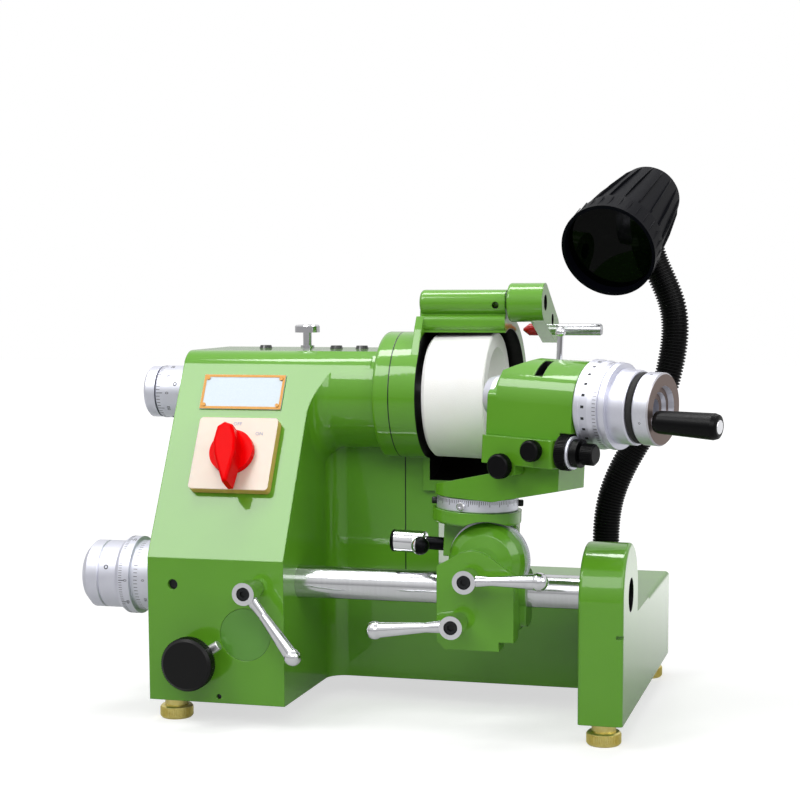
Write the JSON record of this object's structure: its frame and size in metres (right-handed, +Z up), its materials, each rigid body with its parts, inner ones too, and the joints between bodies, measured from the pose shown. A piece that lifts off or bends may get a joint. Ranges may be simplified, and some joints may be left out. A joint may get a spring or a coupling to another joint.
{
  "type": "tool and cutter grinder",
  "caption": "Bench-top grinder for sharpening drills and cutters: cup wheel under a guard, swivelling work-head on a round guide bar, feed dials and a gooseneck lamp.",
  "frame": {"origin": "bottom centre of the whole machine's box, on the bench under the feet", "axes": "+X from the feed dials towards the crank handle, along the guide bar and the grinding spindle; +Y from the operator's side to the back; +Z up"},
  "size_m": [0.503, 0.3464, 0.43],
  "materials": {
    "green_enamel": "gloss",
    "satin_aluminium": "satin",
    "ground_steel": "satin",
    "bright_chrome": "polished",
    "white_grit": "matt",
    "black_plastic": "matt",
    "ivory_plastic": "satin",
    "red_plastic": "gloss",
    "yellow_brass": "bright",
    "clear_glass": "polished",
    "belt_rubber": "matt",
    "motor_grey": "matt"
  },
  "bodies": {
    "base": {"machine_bed": "green_enamel", "wheel_guard": "green_enamel", "rear_cover": "green_enamel", "cover_screws": "ground_steel", "bottom_plate": "ground_steel", "levelling_feet": "yellow_brass", "name_plate": "satin_aluminium", "plate_rivets": "ground_steel", "switch_plate": "ivory_plastic", "switch_body": "black_plastic", "casting_plugs": "green_enamel", "set_screws": "ground_steel", "cable_gland": "black_plastic", "motor_housing": "motor_grey", "drive_belt": "belt_rubber", "spindle_feed_barrel": "satin_aluminium", "bar_feed_barrel": "satin_aluminium", "lamp_base": "black_plastic", "gooseneck": "black_plastic", "lamp_head": "black_plastic", "lamp_rim": "black_plastic", "lamp_lens": "clear_glass", "lamp_bulb": "clear_glass"},
    "quill": {"quill_sleeve": "ground_steel", "spindle_bearings": "ground_steel"},
    "spindle": {"spindle_shaft": "ground_steel", "wheel_flange": "satin_aluminium", "grinding_wheel": "white_grit", "wheel_nut": "ground_steel", "spindle_pulley": "satin_aluminium"},
    "spindle_dial": {"spindle_feed_dial": "satin_aluminium"},
    "rotor": {"motor_rotor": "ground_steel", "motor_pulley": "satin_aluminium"},
    "feed_screw": {"bar_feed_screw": "ground_steel"},
    "bar_dial": {"bar_feed_dial": "satin_aluminium"},
    "bar": {"guide_bar": "ground_steel"},
    "carriage": {"carriage": "green_enamel", "tilt_scale_ring": "satin_aluminium"},
    "lever_upper": {"carriage_lever_upper": "bright_chrome"},
    "lever_lower": {"carriage_lever_lower": "bright_chrome"},
    "lever_column": {"column_clamp_lever": "bright_chrome"},
    "stop_knob": {"swing_stop_knob": "black_plastic"},
    "quill_lock": {"quill_lock_screw": "ground_steel"},
    "switch": {"switch_knob": "red_plastic"},
    "tilt": {"tilt_bracket": "green_enamel", "swivel_scale_ring": "satin_aluminium"},
    "swivel_lever": {"swivel_clamp_lever": "bright_chrome"},
    "table": {"swivel_table": "green_enamel"},
    "slide": {"cross_slide": "green_enamel", "workhead_body": "green_enamel"},
    "slide_knob": {"slide_micrometer_knob": "black_plastic"},
    "slide_lock": {"slide_lock_screw": "black_plastic"},
    "table_lock": {"table_lock_screw": "black_plastic"},
    "index": {"index_pin": "ground_steel"},
    "work": {"work_spindle": "ground_steel", "index_ring": "satin_aluminium", "collet_handwheel": "satin_aluminium"},
    "handle": {"crank_handle": "black_plastic"},
    "dresser": {"dresser_arm": "green_enamel", "diamond_dresser": "bright_chrome"}
  },
  "joints": [
    {"name": "spindle_dial_turn", "type": "hinge", "parent": "base", "child": "spindle_dial", "pos_m": [-0.22847, 0.00056, 0.249], "axis": [1, 0, 0], "range_deg": [-365, 365]},
    {"name": "quill_feed", "type": "slide", "parent": "base", "child": "quill", "axis": [1, 0, 0], "range_m": [-0.003, 0.003]},
    {"name": "spindle_spin", "type": "hinge", "parent": "quill", "child": "spindle", "pos_m": [-0.03847, 0.00056, 0.249], "axis": [1, 0, 0], "continuous": true},
    {"name": "rotor_spin", "type": "hinge", "parent": "base", "child": "rotor", "pos_m": [-0.08847, 0.08056, 0.084], "axis": [1, 0, 0], "continuous": true},
    {"name": "bar_dial_turn", "type": "hinge", "parent": "base", "child": "bar_dial", "pos_m": [-0.23847, -0.07694, 0.1085], "axis": [1, 0, 0], "range_deg": [-725, 725]},
    {"name": "bar_feed", "type": "slide", "parent": "base", "child": "feed_screw", "axis": [1, 0, 0], "range_m": [-0.006, 0.006]},
    {"name": "bar_swing", "type": "hinge", "parent": "feed_screw", "child": "bar", "pos_m": [-0.18047, -0.07694, 0.1085], "axis": [1, 0, 0], "range_deg": [0, 30]},
    {"name": "carriage_slide", "type": "slide", "parent": "bar", "child": "carriage", "axis": [1, 0, 0], "range_m": [-0.02, 0.01]},
    {"name": "carriage_lever_upper_turn", "type": "hinge", "parent": "carriage", "child": "lever_upper", "pos_m": [0.06573, -0.11545, 0.1225], "axis": [0, 1, 0], "range_deg": [-40, 60]},
    {"name": "carriage_lever_lower_turn", "type": "hinge", "parent": "carriage", "child": "lever_lower", "pos_m": [0.05693, -0.11545, 0.0897], "axis": [0, 1, 0], "range_deg": [-60, 20]},
    {"name": "column_lever_turn", "type": "hinge", "parent": "base", "child": "lever_column", "pos_m": [-0.09997, -0.11545, 0.1085], "axis": [0, 1, 0], "range_deg": [-25, 40]},
    {"name": "stop_knob_turn", "type": "hinge", "parent": "base", "child": "stop_knob", "pos_m": [-0.14847, -0.11545, 0.0515], "axis": [0, 1, 0], "range_deg": [-90, 90]},
    {"name": "quill_lock_turn", "type": "hinge", "parent": "base", "child": "quill_lock", "pos_m": [-0.09747, 0.00456, 0.278], "axis": [0, 0, 1], "range_deg": [-180, 180]},
    {"name": "switch_turn", "type": "hinge", "parent": "base", "child": "switch", "pos_m": [-0.12997, -0.08148, 0.20678], "axis": [0, -0.8746, 0.4848], "range_deg": [-60, 60]},
    {"name": "tilt_turn", "type": "hinge", "parent": "carriage", "child": "tilt", "pos_m": [0.07403, -0.08544, 0.132], "axis": [0, 1, 0], "range_deg": [-5, 12]},
    {"name": "swivel_lever_turn", "type": "hinge", "parent": "tilt", "child": "swivel_lever", "pos_m": [0.01588, -0.07694, 0.14224], "axis": [0.9993, 0, -0.0384], "range_deg": [-30, 30]},
    {"name": "swivel_turn", "type": "hinge", "parent": "tilt", "child": "table", "pos_m": [0.06261, -0.07694, 0.17347], "axis": [0.0384, 0, 0.9993], "range_deg": [-70, 15]},
    {"name": "cross_slide_feed", "type": "slide", "parent": "table", "child": "slide", "axis": [0.9448, -0.3256, -0.0363], "range_m": [-0.005, 0.005]},
    {"name": "slide_knob_turn", "type": "hinge", "parent": "slide", "child": "slide_knob", "pos_m": [0.14252, -0.14191, 0.21893], "axis": [0.9448, -0.3256, -0.0363], "range_deg": [-905, 905]},
    {"name": "slide_lock_turn", "type": "hinge", "parent": "slide", "child": "slide_lock", "pos_m": [0.12039, -0.14486, 0.22029], "axis": [0.3253, 0.9455, -0.0125], "range_deg": [-120, 120]},
    {"name": "table_lock_turn", "type": "hinge", "parent": "slide", "child": "table_lock", "pos_m": [0.09627, -0.13672, 0.2082], "axis": [0.3253, 0.9455, -0.0125], "range_deg": [-120, 120]},
    {"name": "index_pin_lift", "type": "slide", "parent": "slide", "child": "index", "axis": [0.0384, 0, 0.9993], "range_m": [0, 0.006], "stiffness_N_per_m": 300, "springref_m": -0.004},
    {"name": "work_spindle_spin", "type": "hinge", "parent": "slide", "child": "work", "pos_m": [0.1195, -0.10499, 0.25284], "axis": [0.9448, -0.3256, -0.0363], "continuous": true},
    {"name": "handle_spin", "type": "hinge", "parent": "work", "child": "handle", "pos_m": [0.21826, -0.15498, 0.24154], "axis": [0.9448, -0.3256, -0.0363], "continuous": true},
    {"name": "dresser_swing", "type": "hinge", "parent": "base", "child": "dresser", "pos_m": [0.06153, -0.01145, 0.322], "axis": [1, 0, 0], "range_deg": [-65, 20]}
  ],
  "couplings": [
    {"joint": "spindle_dial_turn", "follows": "quill_feed", "rad_per_m": 2094.4},
    {"joint": "bar_dial_turn", "follows": "bar_feed", "rad_per_m": 2094.4},
    {"joint": "slide_knob_turn", "follows": "cross_slide_feed", "rad_per_m": 3141.6},
    {"joint": "rotor_spin", "follows": "spindle_spin", "ratio": 0.75}
  ]
}
